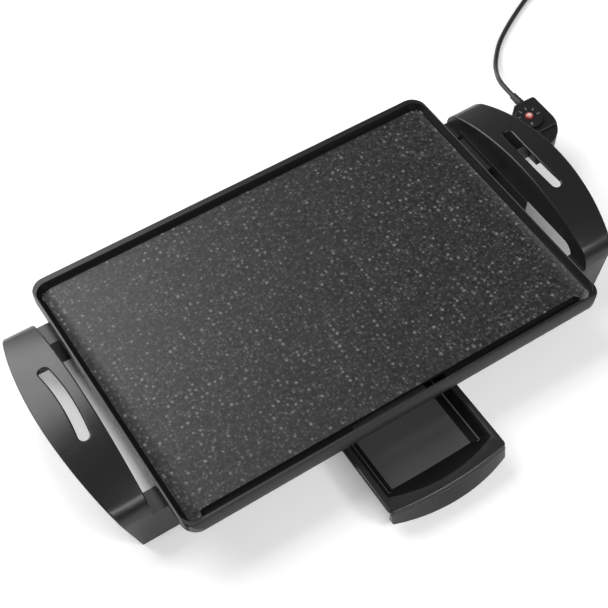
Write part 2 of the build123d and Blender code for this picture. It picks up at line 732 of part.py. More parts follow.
# Coil
coil_start = Vector(*cord_route[-1])
heading = (coil_start - Vector(*cord_route[-2])).normalized()
leftward = Vector(-heading.Y, heading.X, 0)
coil_radii = [coil_outer_radius - turn * coil_pitch / 2 for turn in range(2 * coil_turns_per_layer)]
climb_radius = coil_radii[-1] - coil_pitch / 2
climb_reach = sqrt(climb_radius ** 2 + (coil_pitch / 2) ** 2)
layer_step = Vector(0, 0, coil_pitch)
with BuildPart() as coil:
    with BuildLine() as coil_line:
        point = coil_start + heading * cord_diameter
        Line(coil_start, point)
        ahead = heading
        across = leftward
        for radius in coil_radii:
            arc = TangentArc(point, point + across * (2 * radius), tangent=ahead)
            point = arc @ 1
            ahead = -ahead
            across = -across
        climb_middle = point + across * climb_radius + ahead * climb_reach + layer_step * 0.5
        first_quarter = TangentArc(point, climb_middle, tangent=ahead)
        second_quarter = TangentArc(climb_middle, point + across * (2 * climb_radius) + layer_step,
                                    tangent=first_quarter % 1)
        point = second_quarter @ 1
        ahead = -ahead
        across = -across
        for radius in reversed(coil_radii):
            arc = TangentArc(point, point + across * (2 * radius), tangent=ahead)
            point = arc @ 1
            ahead = -ahead
            across = -across
        coil_end = point + ahead * coil_end_run
        Line(point, coil_end)
    with BuildSketch(Plane(origin=coil_start, z_dir=heading)):
        Circle(cord_diameter / 2)
    sweep()
save("cord_coil", coil.part)
coil_path = coil_line.wire()
coil_length = coil_path.length
sample_count = 500
samples = [coil_path @ (index / sample_count) for index in range(sample_count + 1)]
apart = int(2 * climb_radius / coil_length * sample_count)
least_gap = min((samples[first] - samples[second]).length
                for first in range(sample_count + 1)
                for second in range(first + apart, sample_count + 1)) - cord_diameter
print("coil length", coil_length, "least gap", least_gap,
      "volume ratio", coil.part.volume / (cord_section * coil_length))

# Tie, on the side of the coil where the cord arrives
tie_slack = tie_gap + (tie_width / 2 + coil_pitch / 2) ** 2 / (2 * coil_radii[-1])
tie_inner = coil_radii[-1] - cord_diameter / 2 - tie_slack
tie_outer = coil_radii[1] + cord_diameter / 2 + tie_gap
tie_low = cord_route[-1][2] - cord_diameter / 2 - tie_gap
tie_high = cord_route[-1][2] + coil_pitch + cord_diameter / 2 + tie_gap
coil_middle = coil_start + heading * cord_diameter + leftward * coil_outer_radius
with BuildPart(Plane(origin=(coil_middle.X, coil_middle.Y, 0), x_dir=-heading)) as tie:
    box_between(tie_inner - tie_thickness, tie_outer + tie_thickness, -tie_width / 2, tie_width / 2,
                tie_low - tie_thickness, tie_high + tie_thickness)
    box_between(tie_inner, tie_outer, -tie_width / 2, tie_width / 2, tie_low, tie_high, Mode.SUBTRACT)
save("coil_tie", tie.part)

# Plug
plug_plane = Plane(origin=coil_end, x_dir=ahead)
plug_height = 2 * coil_end.Z
with BuildPart(plug_plane) as plug:
    with Locations((plug_boot_length / 2, 0, 0)):
        Cone(boot_tip_diameter / 2, boot_root_diameter / 2, plug_boot_length, rotation=(0, 90, 0))
    with Locations((plug_boot_length + plug_length / 2, 0, 0)):
        Box(plug_length, plug_width, plug_height)
    fillet(plug.edges().filter_by(Axis.Z), plug_round)
    for middle in (-blade_spacing / 2, blade_spacing / 2):
        box_between(plug_boot_length + plug_length - blade_embed, plug_boot_length + plug_length,
                    middle - blade_thickness / 2, middle + blade_thickness / 2, -blade_width / 2,
                    blade_width / 2, Mode.SUBTRACT)
save("plug_body", plug.part)

with BuildPart(plug_plane) as blades:
    for middle in (-blade_spacing / 2, blade_spacing / 2):
        box_between(plug_boot_length + plug_length - blade_embed,
                    plug_boot_length + plug_length + blade_length,
                    middle - blade_thickness / 2, middle + blade_thickness / 2, -blade_width / 2,
                    blade_width / 2)
save("plug_blades", blades.part)
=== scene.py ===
"""An electric griddle on a white table: the camera, the cord, softened pieces, finishes and studio light.

The scene is in metres, and lengths given in millimetres are multiplied by mm. The CAD frame stands on the
table at z = 0, with +X to the temperature control and +Y to the back.
"""
from math import cos, pi, radians, sin

import bmesh
import bpy
from mathutils import Euler, Matrix, Vector


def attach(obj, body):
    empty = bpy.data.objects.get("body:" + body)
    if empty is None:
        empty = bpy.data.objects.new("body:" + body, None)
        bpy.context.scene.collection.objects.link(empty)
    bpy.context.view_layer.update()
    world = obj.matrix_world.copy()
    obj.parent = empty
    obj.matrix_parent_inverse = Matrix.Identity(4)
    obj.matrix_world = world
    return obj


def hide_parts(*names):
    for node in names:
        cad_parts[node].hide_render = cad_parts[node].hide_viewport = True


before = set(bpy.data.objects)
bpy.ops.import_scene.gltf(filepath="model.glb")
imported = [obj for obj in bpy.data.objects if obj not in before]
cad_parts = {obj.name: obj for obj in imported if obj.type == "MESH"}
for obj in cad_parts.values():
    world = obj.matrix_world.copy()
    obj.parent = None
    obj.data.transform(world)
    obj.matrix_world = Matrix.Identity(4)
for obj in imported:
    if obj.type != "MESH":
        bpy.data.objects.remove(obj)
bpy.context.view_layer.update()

scene = bpy.context.scene
scene.view_settings.view_transform = "Standard"
mm = 0.001

# Camera, solved from the plate's outline and the two handles
focal_length = 80.64
sensor_width = 36.0
camera_place = (-0.39043, -0.57319, 1.03704)
camera_turn_degrees = (34.5665, -0.3674, -32.981)

camera_data = bpy.data.cameras.new("photo_camera")
camera_data.lens = focal_length
camera_data.sensor_width = sensor_width
camera = bpy.data.objects.new("photo_camera", camera_data)
camera.location = camera_place
camera.rotation_euler = Euler([radians(angle) for angle in camera_turn_degrees])
scene.collection.objects.link(camera)
scene.camera = camera

# Places on the CAD pieces that the finishes, the rounded edges and the dial's numbers follow
cooking_floor_heights = (48.5 * mm, 53.4 * mm)
crest_heights = (53.2 * mm, 55.0 * mm)
# The crest's outer edge at the two ends, where a highlight line is painted
crest_painted_highlight_edge = (211.2 * mm, 213.0 * mm)
pan_half_length = 210.2 * mm
pan_front = -137.7 * mm
pan_back = 135.2 * mm
pan_bottom = 44.5 * mm
channel_top = 48.8 * mm
# Height of the painted highlight line at the foot of the pan's slopes
pan_painted_highlight_height = 49.1 * mm
# Heights of the basin's floor, which is painted paler as light
basin_floor_heights = (0.0, 13.5 * mm)
# Height of the painted highlight line on the basin's walls
basin_painted_highlight_height = 16.8 * mm
basin_half_width = 53.7 * mm
basin_front = -202.7 * mm
basin_top = 26.8 * mm
handle_top_start = 48.0 * mm
dial_axis = Vector((292.0, 63.0, 0.0)) * mm
dial_top = Vector((0.0, 0.0, 48.0)) * mm


# Steps in a node tree
def add_node(tree, kind, inputs=None, **options):
    """Add a node, set its options, and join or set its inputs."""
    made = tree.nodes.new(kind)
    for option, value in options.items():
        setattr(made, option, value)
    for socket, value in (inputs or {}).items():
        if isinstance(value, bpy.types.NodeSocket):
            tree.links.new(value, made.inputs[socket])
        else:
            made.inputs[socket].default_value = value
    return made


def split(tree, vector):
    """The X, Y and Z of a vector."""
    return add_node(tree, "ShaderNodeSeparateXYZ", {"Vector": vector}).outputs


def noise(tree, vector, scale, detail=2.0):
    """A cloudy pattern of values."""
    pattern = {"Vector": vector, "Scale": scale, "Detail": detail}
    return add_node(tree, "ShaderNodeTexNoise", pattern).outputs[0]


def combine(tree, operation, first, second):
    """One step of arithmetic on two values."""
    return add_node(tree, "ShaderNodeMath", {0: first, 1: second}, operation=operation).outputs[0]


def product(tree, first, second):
    """Where two masks overlap."""
    return combine(tree, "MULTIPLY", first, second)


def magnitude(tree, value):
    """A value without its sign."""
    return add_node(tree, "ShaderNodeMath", {0: value}, operation="ABSOLUTE").outputs[0]


def ramp(tree, value, start, end, first=0.0, last=1.0):
    """Go from a first result to a last one while a value goes from start to end."""
    limits = {"From Min": start, "From Max": end, "To Min": first, "To Max": last}
    return add_node(tree, "ShaderNodeMapRange", {"Value": value, **limits}).outputs[0]


def mix_values(tree, share, first, last):
    """Blend two values."""
    return ramp(tree, share, 0.0, 1.0, first, last)


def mix_colours(tree, share, first, second):
    """Blend two colours, either of which may be a socket."""
    return add_node(tree, "ShaderNodeMix", {0: share, 6: first, 7: second}, data_type="RGBA").outputs[2]


def within(tree, value, limits, fade):
    """A mask that is 1 while a value lies between two limits, with a soft step outside each."""
    low, high = limits
    above = ramp(tree, value, low - fade, low)
    below = ramp(tree, value, high, high + fade, 1.0, 0.0)
    return product(tree, above, below)


def lying_flat(tree, coordinates, heights, fade):
    """A mask of the faces that lie flat between two heights."""
    level = ramp(tree, split(tree, coordinates["Normal"])["Z"], 0.9, 0.98)
    return product(tree, level, within(tree, split(tree, coordinates["Object"])["Z"], heights, fade))


# Shared effects
def effect(name, values, results):
    """A new node group that takes a vector and named values, with the sockets at its two ends."""
    group = bpy.data.node_groups.new(name, "ShaderNodeTree")
    group.interface.new_socket("Vector", in_out="INPUT", socket_type="NodeSocketVector")
    for value in values:
        group.interface.new_socket(value, in_out="INPUT", socket_type="NodeSocketFloat")
    for result in results:
        group.interface.new_socket(result, in_out="OUTPUT", socket_type="NodeSocketFloat")
    entry = group.nodes.new("NodeGroupInput")
    leave = group.nodes.new("NodeGroupOutput")
    return group, entry.outputs, leave.inputs


def use_effect(tree, group, vector, **values):
    """Place a shared effect in a material with its own values, and give its results."""
    return add_node(tree, "ShaderNodeGroup", {"Vector": vector, **values}, node_tree=group).outputs


def moulded_skin_effect():
    """Fine moulded grain, slow patches of tone, and a few rubbed streaks."""
    group, entry, leave = effect("moulded_skin", ["Grain", "Patch"], ["Height", "Tone", "Rubbed"])
    vector = entry["Vector"]
    streak_turn = (0.2, 0.1, 0.5)
    streak_scale = (18.0, 420.0, 120.0)
    stretched = add_node(group, "ShaderNodeMapping",
                         {"Vector": vector, "Rotation": streak_turn, "Scale": streak_scale})
    streaks = noise(group, stretched.outputs["Vector"], 1.0)
    group.links.new(noise(group, vector, entry["Grain"], detail=3.0), leave["Height"])
    group.links.new(noise(group, vector, entry["Patch"]), leave["Tone"])
    group.links.new(ramp(group, streaks, 0.62, 0.78), leave["Rubbed"])
    return group


def flecks_effect():
    """Flecks of uneven size and brightness with ragged edges, scattered over X and Y."""
    group, entry, leave = effect("flecks", ["Density", "Share", "Reach"], ["Mask"])
    vector = entry["Vector"]
    ragged_scale = 700.0
    ragged_reach = (2.0 * mm, 2.0 * mm, 0.0)
    soft_edge = 0.26
    least_brightness = 0.35
    ragged = add_node(group, "ShaderNodeTexNoise", {"Vector": vector, "Scale": ragged_scale})
    nudge = add_node(group, "ShaderNodeVectorMath", {0: ragged.outputs["Color"], 1: ragged_reach},
                     operation="MULTIPLY")
    moved = add_node(group, "ShaderNodeVectorMath", {0: vector, 1: nudge.outputs[0]}, operation="ADD")
    cells = add_node(group, "ShaderNodeTexVoronoi", {"Vector": moved.outputs[0], "Scale": entry["Density"]},
                     voronoi_dimensions="2D").outputs
    chance = add_node(group, "ShaderNodeSeparateColor", {"Color": cells["Color"]}).outputs
    least_chance = combine(group, "SUBTRACT", 1.0, entry["Share"])
    reach = ramp(group, chance["Red"], least_chance, 1.0, 0.0, entry["Reach"])
    inside = combine(group, "SUBTRACT", reach, cells["Distance"])
    edge = ramp(group, inside, 0.0, soft_edge)
    brightness = mix_values(group, chance["Green"], least_brightness, 1.0)
    group.links.new(product(group, edge, brightness), leave["Mask"])
    return group


moulded_skin = moulded_skin_effect()
flecks = flecks_effect()


# Finishes
def grey(level, blue=None):
    """A grey colour, with its own level of blue where one is given."""
    return (level, level, level if blue is None else blue, 1)


# Pale grey of the painted highlight lines on the crest's ends and at the hollows' feet
painted_highlight_grey = grey(0.12)


def start_finish(name):
    """A new material with its node tree, its Principled shader and its texture coordinates."""
    material = bpy.data.materials.new(name)
    material.use_nodes = True
    tree = material.node_tree
    return material, tree, tree.nodes["Principled BSDF"], add_node(tree, "ShaderNodeTexCoord").outputs


def cover(tree, shader, colour, roughness, height, relief, depth=0.08 * mm):
    """Join a colour, a roughness and a bump to the shader."""
    bump = add_node(tree, "ShaderNodeBump", {"Strength": relief, "Distance": depth, "Height": height})
    tree.links.new(colour, shader.inputs["Base Color"])
    tree.links.new(roughness, shader.inputs["Roughness"])
    tree.links.new(bump.outputs["Normal"], shader.inputs["Normal"])


def rubbed_smoother(tree, roughness, skin):
    """Take a little off a roughness where the skin is rubbed."""
    return combine(tree, "SUBTRACT", roughness, product(tree, skin["Rubbed"], 0.1))


def moulded_finish(name, dark, light, roughness, grain, patch, relief=0.25):
    """A moulded plastic or rubber: grain, slow tone changes, and streaks rubbed a little smoother."""
    material, tree, shader, coordinates = start_finish(name)
    skin = use_effect(tree, moulded_skin, coordinates["Object"], Grain=grain, Patch=patch)
    colour = mix_colours(tree, skin["Tone"], dark, light)
    patchy = mix_values(tree, skin["Tone"], roughness + 0.05, roughness - 0.05)
    cover(tree, shader, colour, rubbed_smoother(tree, patchy, skin), skin["Height"], relief)
    return material


def metal_finish(name, dark, light, roughness, grain):
    """A drawn or plated metal: fine streaks in its tone and roughness."""
    material, tree, shader, coordinates = start_finish(name)
    skin = use_effect(tree, moulded_skin, coordinates["Object"], Grain=grain, Patch=60.0)
    colour = mix_colours(tree, skin["Tone"], dark, light)
    streaky = mix_values(tree, skin["Rubbed"], roughness, roughness + 0.15)
    shader.inputs["Metallic"].default_value = 1.0
    cover(tree, shader, colour, streaky, skin["Height"], relief=0.15, depth=0.04 * mm)
    return material


def coating_finish(name):
    """The non-stick coat: flecked on the cooking floor, plain outside, black on the crest with a painted
    highlight line along its outer edge at the two ends.
    """
    material, tree, shader, coordinates = start_finish(name)
    vector = coordinates["Object"]
    place = split(tree, vector)
    skin = use_effect(tree, moulded_skin, vector, Grain=1100.0, Patch=22.0)
    large = use_effect(tree, flecks, vector, Density=175.0, Share=0.78, Reach=0.36)
    small = use_effect(tree, flecks, vector, Density=310.0, Share=1.0, Reach=0.52)
    mottled = ramp(tree, noise(tree, vector, 300.0), 0.35, 0.7)
    ground = mix_colours(tree, mottled, grey(0.008, 0.0083), grey(0.028, 0.0285))
    speckled = mix_colours(tree, small["Mask"], ground, grey(0.075))
    flecked = mix_colours(tree, large["Mask"], speckled, grey(0.2))
    plain = mix_colours(tree, skin["Tone"], grey(0.016, 0.0165), grey(0.024, 0.0245))
    on_crest = within(tree, place["Z"], crest_heights, 0.2 * mm)
    at_end = within(tree, magnitude(tree, place["X"]), crest_painted_highlight_edge, 0.4 * mm)
    crest = mix_colours(tree, on_crest, plain, grey(0.007, 0.0072))
    # Painted highlight line along the crest's outer edge at the two ends
    crest_with_painted_highlight = mix_colours(tree, product(tree, on_crest, at_end), crest, painted_highlight_grey)
    cooking_floor = lying_flat(tree, coordinates, cooking_floor_heights, 0.2 * mm)
    colour = mix_colours(tree, cooking_floor, crest_with_painted_highlight, flecked)
    satin = mix_values(tree, skin["Tone"], 0.46, 0.36)
    cover(tree, shader, colour, satin, skin["Height"], relief=0.3)
    return material


def hollow_finish(name, dark, light, grain, painted_highlight_height):
    """Dull sides of a hollow, near black as painted shade, with a painted highlight line a little above
    their foot at the two ends.
    """
    material, tree, shader, coordinates = start_finish(name)
    vector = coordinates["Object"]
    painted_highlight_heights = (painted_highlight_height, painted_highlight_height + 0.7 * mm)
    sideways = magnitude(tree, split(tree, coordinates["Normal"])["X"])
    at_ends = within(tree, sideways, (0.5, 1.0), 0.1)
    at_foot = within(tree, split(tree, vector)["Z"], painted_highlight_heights, 0.3 * mm)
    skin = use_effect(tree, moulded_skin, vector, Grain=grain, Patch=30.0)
    # Near-black base colour, painted shade of the hollow
    black = mix_colours(tree, skin["Tone"], dark, light)
    # Painted highlight line at the foot of the end walls
    colour = mix_colours(tree, product(tree, at_ends, at_foot), black, painted_highlight_grey)
    dull = mix_values(tree, skin["Tone"], 0.6, 0.48)
    shader.inputs["Specular IOR Level"].default_value = 0.07
    cover(tree, shader, colour, dull, skin["Height"], relief=0.3)
    return material


def tray_finish(name):
    """The tray's plastic: satin on the rim, dull on the floor of the basin, where a paler colour is painted
    in as light.
    """
    material, tree, shader, coordinates = start_finish(name)
    basin_floor = lying_flat(tree, coordinates, basin_floor_heights, 0.3 * mm)
    skin = use_effect(tree, moulded_skin, coordinates["Object"], Grain=1500.0, Patch=30.0)
    satin = mix_colours(tree, skin["Tone"], grey(0.014, 0.0145), grey(0.024, 0.025))
    # Paler colour painted on the basin's floor as light falling there
    painted_light_floor_colour = mix_colours(tree, skin["Tone"], grey(0.046, 0.047), grey(0.058, 0.059))
    colour = mix_colours(tree, basin_floor, satin, painted_light_floor_colour)
    dulled = mix_values(tree, basin_floor, 0.26, 0.6)
    cover(tree, shader, colour, rubbed_smoother(tree, dulled, skin), skin["Height"], relief=0.25)
    return material


def lens_finish(name):
    """A red lens with a pale painted highlight in the middle, over its lamp."""
    material, tree, shader, coordinates = start_finish(name)
    vector = coordinates["Object"]
    place = split(tree, vector)
    skin = use_effect(tree, moulded_skin, vector, Grain=900.0, Patch=250.0)
    flat_place = add_node(tree, "ShaderNodeCombineXYZ", {"X": place["X"], "Y": place["Y"]})
    from_axis = add_node(tree, "ShaderNodeVectorMath", {0: flat_place.outputs[0], 1: dial_axis},
                         operation="DISTANCE")
    painted_highlight_share = ramp(tree, from_axis.outputs["Value"], 0.6 * mm, 3.4 * mm, 1.0, 0.0)
    red = mix_colours(tree, skin["Tone"], (0.36, 0.035, 0.03, 1), (0.5, 0.08, 0.07, 1))
    # Pale pink painted highlight blended into the red towards the middle
    tree.links.new(mix_colours(tree, painted_highlight_share, red, (0.9, 0.6, 0.57, 1)), shader.inputs["Base Color"])
    tree.links.new(mix_values(tree, skin["Height"], 0.08, 0.2), shader.inputs["Roughness"])
    shader.inputs["Transmission Weight"].default_value = 0.1
    return material


def lamp_finish(name):
    """Clear lamp glass with a slight tint."""
    material, tree, shader, coordinates = start_finish(name)
    skin = use_effect(tree, moulded_skin, coordinates["Object"], Grain=600.0, Patch=200.0)
    tint = mix_colours(tree, skin["Tone"], (0.95, 0.7, 0.62, 1), (1.0, 0.85, 0.8, 1))
    tree.links.new(tint, shader.inputs["Base Color"])
    shader.inputs["Roughness"].default_value = 0.05
    shader.inputs["Transmission Weight"].default_value = 0.9
    return material


coating = coating_finish("plate_coating")
# Near-black hollow finishes painted as shade, each with a painted highlight line
slope_coating = hollow_finish("slope_coating", grey(0.003, 0.0032), grey(0.006, 0.0062),
                              grain=1100.0, painted_highlight_height=pan_painted_highlight_height)
basin_plastic = hollow_finish("basin_plastic", grey(0.005, 0.0052), grey(0.009, 0.0092),
                              grain=1500.0, painted_highlight_height=basin_painted_highlight_height)
handle_plastic = moulded_finish("handle_plastic", grey(0.009, 0.0094), grey(0.016, 0.0165),
                                roughness=0.32, grain=1500.0, patch=30.0)
tray_plastic = tray_finish("tray_plastic")
control_plastic = moulded_finish("control_plastic", grey(0.003, 0.0032), grey(0.006, 0.0063),
                                 roughness=0.5, grain=1700.0, patch=60.0)
dial_plastic = moulded_finish("dial_plastic", grey(0.005, 0.0052), grey(0.008, 0.0085),
                              roughness=0.45, grain=1700.0, patch=80.0)
number_ink = moulded_finish("number_ink", grey(0.26), grey(0.36),
                            roughness=0.5, grain=2500.0, patch=300.0)
cord_rubber = moulded_finish("cord_rubber", grey(0.012, 0.0125), grey(0.022, 0.023),
                             roughness=0.5, grain=1300.0, patch=60.0)
plug_rubber = moulded_finish("plug_rubber", grey(0.01, 0.0105), grey(0.017, 0.018),
                             roughness=0.55, grain=1300.0, patch=60.0)
foot_rubber = moulded_finish("foot_rubber", grey(0.014), grey(0.024),
                             roughness=0.7, grain=900.0, patch=90.0, relief=0.5)
tie_plastic = moulded_finish("tie_plastic", grey(0.012), grey(0.02),
                             roughness=0.4, grain=1200.0, patch=120.0)
guard_steel = moulded_finish("guard_steel", grey(0.01, 0.0105), grey(0.017, 0.0175),
                             roughness=0.45, grain=800.0, patch=40.0, relief=0.3)
ceramic = moulded_finish("thermostat_ceramic", (0.62, 0.6, 0.55, 1), (0.78, 0.76, 0.71, 1),
                         roughness=0.6, grain=700.0, patch=120.0, relief=0.3)
element_steel = metal_finish("element_steel", (0.28, 0.26, 0.24, 1), (0.4, 0.39, 0.37, 1),
                             roughness=0.38, grain=1200.0)
plated_steel = metal_finish("plated_steel", grey(0.55, 0.56), grey(0.68, 0.69),
                            roughness=0.25, grain=1500.0)
contact_brass = metal_finish("contact_brass", (0.62, 0.46, 0.22, 1), (0.75, 0.6, 0.34, 1),
                             roughness=0.28, grain=1500.0)
lens_red = lens_finish("lens_plastic")
lamp_glass = lamp_finish("lamp_glass")

# Cord, in millimetres: the route in view, then the coil of the length that isn't seen
cord_diameter = 5.0
cord_exit_x = 307.0
cord_exit_height = 31.0
cord_on_table = 2.6
cord_at_coil = 3.7
cord_route = [
    (cord_exit_x, 104.5, cord_exit_height),
    (cord_exit_x, 119.5, cord_exit_height),
    (cord_exit_x + 5.5, 133.6, 25.8),
    (cord_exit_x + 15.8, 147.8, 15.0),
    (cord_exit_x + 27.5, 164.0, 6.0),
    (cord_exit_x + 40.0, 178.2, cord_on_table),
    (cord_exit_x + 54.0, 191.5, cord_on_table),
    (cord_exit_x + 73.5, 204.5, cord_on_table),
    (cord_exit_x + 95.5, 217.0, cord_on_table),
    (cord_exit_x + 118.0, 228.5, cord_on_table),
    (cord_exit_x + 143.0, 239.0, cord_at_coil),
    (cord_exit_x + 168.0, 248.0, cord_at_coil),
]
coil_outer_radius = 34.0
coil_pitch = 5.6
half_turns_per_layer = 4
points_per_half_turn = 8
coil_end_run = 30.0


def coil_points():
    """Control points of the coil: half turns that shrink, a climb, and half turns that grow again."""
    start = Vector(cord_route[-1])
    ahead = (start - Vector(cord_route[-2])).normalized()
    across = Vector((-ahead.y, ahead.x, 0))
    position = start + ahead * cord_diameter
    shrinking = [coil_outer_radius - coil_pitch / 2 * turn for turn in range(half_turns_per_layer + 1)]
    radii = shrinking + shrinking[-2::-1]
    climb = Vector((0, 0, coil_pitch))
    stretch = 1 / cos(pi / points_per_half_turn / 2)
    points = []
    for turn, radius in enumerate(radii):
        rise = climb if turn == half_turns_per_layer else Vector((0, 0, 0))
        centre = position + across * radius
        for step in range(points_per_half_turn):
            share = (step + 0.5) / points_per_half_turn
            angle = pi * share
            offset = (ahead * sin(angle) - across * cos(angle)) * radius * stretch
            points.append(tuple(centre + offset + rise * share))
        position = position + across * (2 * radius) + rise
        ahead = -ahead
        across = -across
    points.append(tuple(position + ahead * cord_diameter))
    points.append(tuple(position + ahead * coil_end_run))
    return points


def cord_curve(name, points, diameter, material):
    """A round cord along one smooth spline."""
    curve = bpy.data.curves.new(name, "CURVE")
    curve.dimensions = "3D"
    curve.bevel_depth = diameter / 2 * mm
    curve.bevel_resolution = 5
    curve.use_fill_caps = True
    curve.resolution_u = 8
    spline = curve.splines.new("NURBS")
    spline.points.add(len(points) - 1)
    for control, point in zip(spline.points, points):
        control.co = (point[0] * mm, point[1] * mm, point[2] * mm, 1.0)
    spline.order_u = 3
    spline.use_endpoint_u = True
    curve.materials.append(material)
    laid = bpy.data.objects.new(name, curve)
    scene.collection.objects.link(laid)
    return laid


cord = cord_curve("mains_cord", cord_route + coil_points(), cord_diameter, cord_rubber)
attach(cord, "probe")
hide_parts("power_cord", "cord_coil")

# Pieces made from the CAD ones
merge_distance = 0.002 * mm
flat_within = radians(0.3)
crease_angle = radians(32)
rounded_angle = radians(35)
flat_weight_rounded = 50
flat_weight_plain = 90
handle_rounding = 1.6 * mm
plug_rounding = 1.5 * mm


def finished_object(name, shape, body, slot, material, *nodes, flat_weight=flat_weight_rounded):
    """Turn a bmesh into a smooth-shaded piece that rides on a body and stands for CAD nodes."""
    mesh = bpy.data.meshes.new(name)
    shape.to_mesh(mesh)
    shape.free()
    mesh.materials.clear()
    mesh.materials.append(material)
    mesh.shade_smooth()
    mesh.set_sharp_from_angle(angle=crease_angle)
    piece = bpy.data.objects.new(name, mesh)
    scene.collection.objects.link(piece)
    flat_faces = piece.modifiers.new("flat_faces", "WEIGHTED_NORMAL")
    flat_faces.keep_sharp = True
    flat_faces.weight = flat_weight
    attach(piece, body)
    if nodes:
        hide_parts(*nodes)
    return piece


def merged_copy(node):
    """A copy of a CAD piece with its loose triangles joined up."""
    shape = bmesh.new()
    shape.from_mesh(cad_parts[node].data)
    bmesh.ops.remove_doubles(shape, verts=shape.verts, dist=merge_distance)
    return shape


def round_edges(shape, width, wanted):
    """Make flat faces whole, then round the sharp outward edges whose ends both pass the test."""
    bmesh.ops.dissolve_limit(shape, angle_limit=flat_within, verts=shape.verts, edges=shape.edges)
    sharp = [edge for edge in shape.edges
             if len(edge.link_faces) == 2
             and edge.calc_face_angle_signed() > rounded_angle
             and all(wanted(vertex.co) for vertex in edge.verts)]
    bmesh.ops.bevel(shape, geom=sharp, offset=width, offset_type="OFFSET", affect="EDGES", segments=3,
                    profile=0.5, clamp_overlap=False, material=-1)


def smoothed(node, body, slot, material):
    """A merged copy of a CAD piece, smooth-shaded, which stands for that piece."""
    return finished_object(node + "_finished", merged_copy(node), body, slot, material, node,
                           flat_weight=flat_weight_plain)


def softened(node, body, slot, material, width, wanted):
    """A merged copy of a CAD piece with rounded edges, which stands for that piece."""
    shape = merged_copy(node)
    round_edges(shape, width, wanted)
    return finished_object(node + "_finished", shape, body, slot, material, node)


def line_hollow(piece, material, inside):
    """Give a second finish to the faces that pass the test."""
    piece.data.materials.append(material)
    for face in piece.data.polygons:
        if inside(face.center, face.normal):
            face.material_index = 1


def on_pan_slope(spot, normal):
    """Whether a face of the plate is a slope of the pan or lies in the grease channel."""
    in_pan = abs(spot.x) < pan_half_length and pan_front < spot.y < pan_back and spot.z > pan_bottom
    in_channel = spot.z < channel_top
    return in_pan and normal.z > -0.1 and (in_channel or normal.z < 0.95)


def on_basin_wall(spot, normal):
    """Whether a face of the tray is an inner wall of its basin."""
    in_mouth = abs(spot.x) < basin_half_width and spot.y > basin_front and spot.z < basin_top
    return in_mouth and 0.05 < normal.z < 0.95


def on_handle_top(spot):
    """Whether a corner of a handle lies above its legs."""
    return spot.z > handle_top_start


def anywhere(spot):
    """Every corner of a piece."""
    return True


plate = smoothed("griddle_plate", "base", "plate_coating", coating)
# The pan's slopes and grease channel take the near-black finish painted as shade
line_hollow(plate, slope_coating, on_pan_slope)
for handle in ("left_handle", "right_handle"):
    softened(handle, "base", "handle_plastic", handle_plastic, handle_rounding, on_handle_top)
tray = smoothed("drip_tray", "tray", "tray_plastic", tray_plastic)
# The basin's walls take the near-black finish painted as shade
line_hollow(tray, basin_plastic, on_basin_wall)
smoothed("tray_front", "tray", "handle_plastic", handle_plastic)
for housing in ("probe_upper_housing", "probe_lower_housing"):
    smoothed(housing, "probe", "control_plastic", control_plastic)
smoothed("probe_dial", "dial", "dial_plastic", dial_plastic)
plug = softened("plug_body", "probe", "plug_rubber", plug_rubber, plug_rounding, anywhere)

# Boot where the cord leaves the control, in millimetres: a taper with raised rings
boot_start_y = 84.5
boot_length = 20.0
boot_root_radius = 4.5
boot_tip_radius = 3.6
boot_neck_radius = 3.2
boot_rings = 5
boot_steps = 40


def boot_shape():
    """Spin the boot's profile round the cord."""
    shape = bmesh.new()
    ring_step = boot_length / (boot_rings + 0.5)
    groove_radius = boot_neck_radius + ring_step / 10
    profile = [(0.0, 0.0), (0.0, boot_root_radius)]
    for ring in range(boot_rings):
        start = (ring + 0.5) * ring_step
        for share, in_groove in ((0.0, False), (0.15, True), (0.4, True), (0.55, False)):
            reach = start + share * ring_step
            taper = boot_root_radius + (boot_tip_radius - boot_root_radius) * reach / boot_length
            profile.append((reach, groove_radius if in_groove else taper))
    profile += [(boot_length, boot_tip_radius), (boot_length, 0.0)]
    centre = Vector((cord_exit_x, boot_start_y, cord_exit_height)) * mm
    chain = [shape.verts.new(centre + Vector((radius, reach, 0)) * mm) for reach, radius in profile]
    edges = [shape.edges.new(pair) for pair in zip(chain, chain[1:])]
    bmesh.ops.spin(shape, geom=chain + edges, cent=centre, axis=(0, 1, 0), angle=2 * pi, steps=boot_steps,
                   use_merge=True)
    bmesh.ops.remove_doubles(shape, verts=shape.verts, dist=merge_distance)
    bmesh.ops.recalc_face_normals(shape, faces=shape.faces)
    return shape


finished_object("ringed_boot", boot_shape(), "probe", "cord_rubber", cord_rubber, "cord_strain_relief")

# Numbers round the dial, 0 for off
number_radius = 9.6 * mm
number_size = 4.2 * mm
number_half_thickness = 0.05 * mm
off_angle = 247
first_number_angle = 158
number_angle_step = 42
last_number = 5


def number_shape(number, angle):
    """A thin raised number that faces outwards on the dial."""
    text = bpy.data.curves.new("number", "FONT")
    text.body = str(number)
    text.size = number_size
    text.align_x = "CENTER"
    text.align_y = "CENTER"
    text.extrude = number_half_thickness
    writing = bpy.data.objects.new("number", text)
    scene.collection.objects.link(writing)
    bpy.context.view_layer.update()
    mesh = bpy.data.meshes.new_from_object(writing)
    bpy.data.objects.remove(writing)
    outwards = Vector((cos(radians(angle)), sin(radians(angle)), 0)) * number_radius
    place = Matrix.Translation(dial_axis + dial_top + outwards)
    mesh.transform(place @ Matrix.Rotation(radians(angle - 90), 4, "Z"))
    return mesh


numbers_shape = bmesh.new()
numbers_shape.from_mesh(number_shape(0, off_angle))
for number in range(1, last_number + 1):
    number_angle = first_number_angle - number_angle_step * (number - 1)
    numbers_shape.from_mesh(number_shape(number, number_angle))
finished_object("dial_numbers", numbers_shape, "dial", "dial_plastic", number_ink)


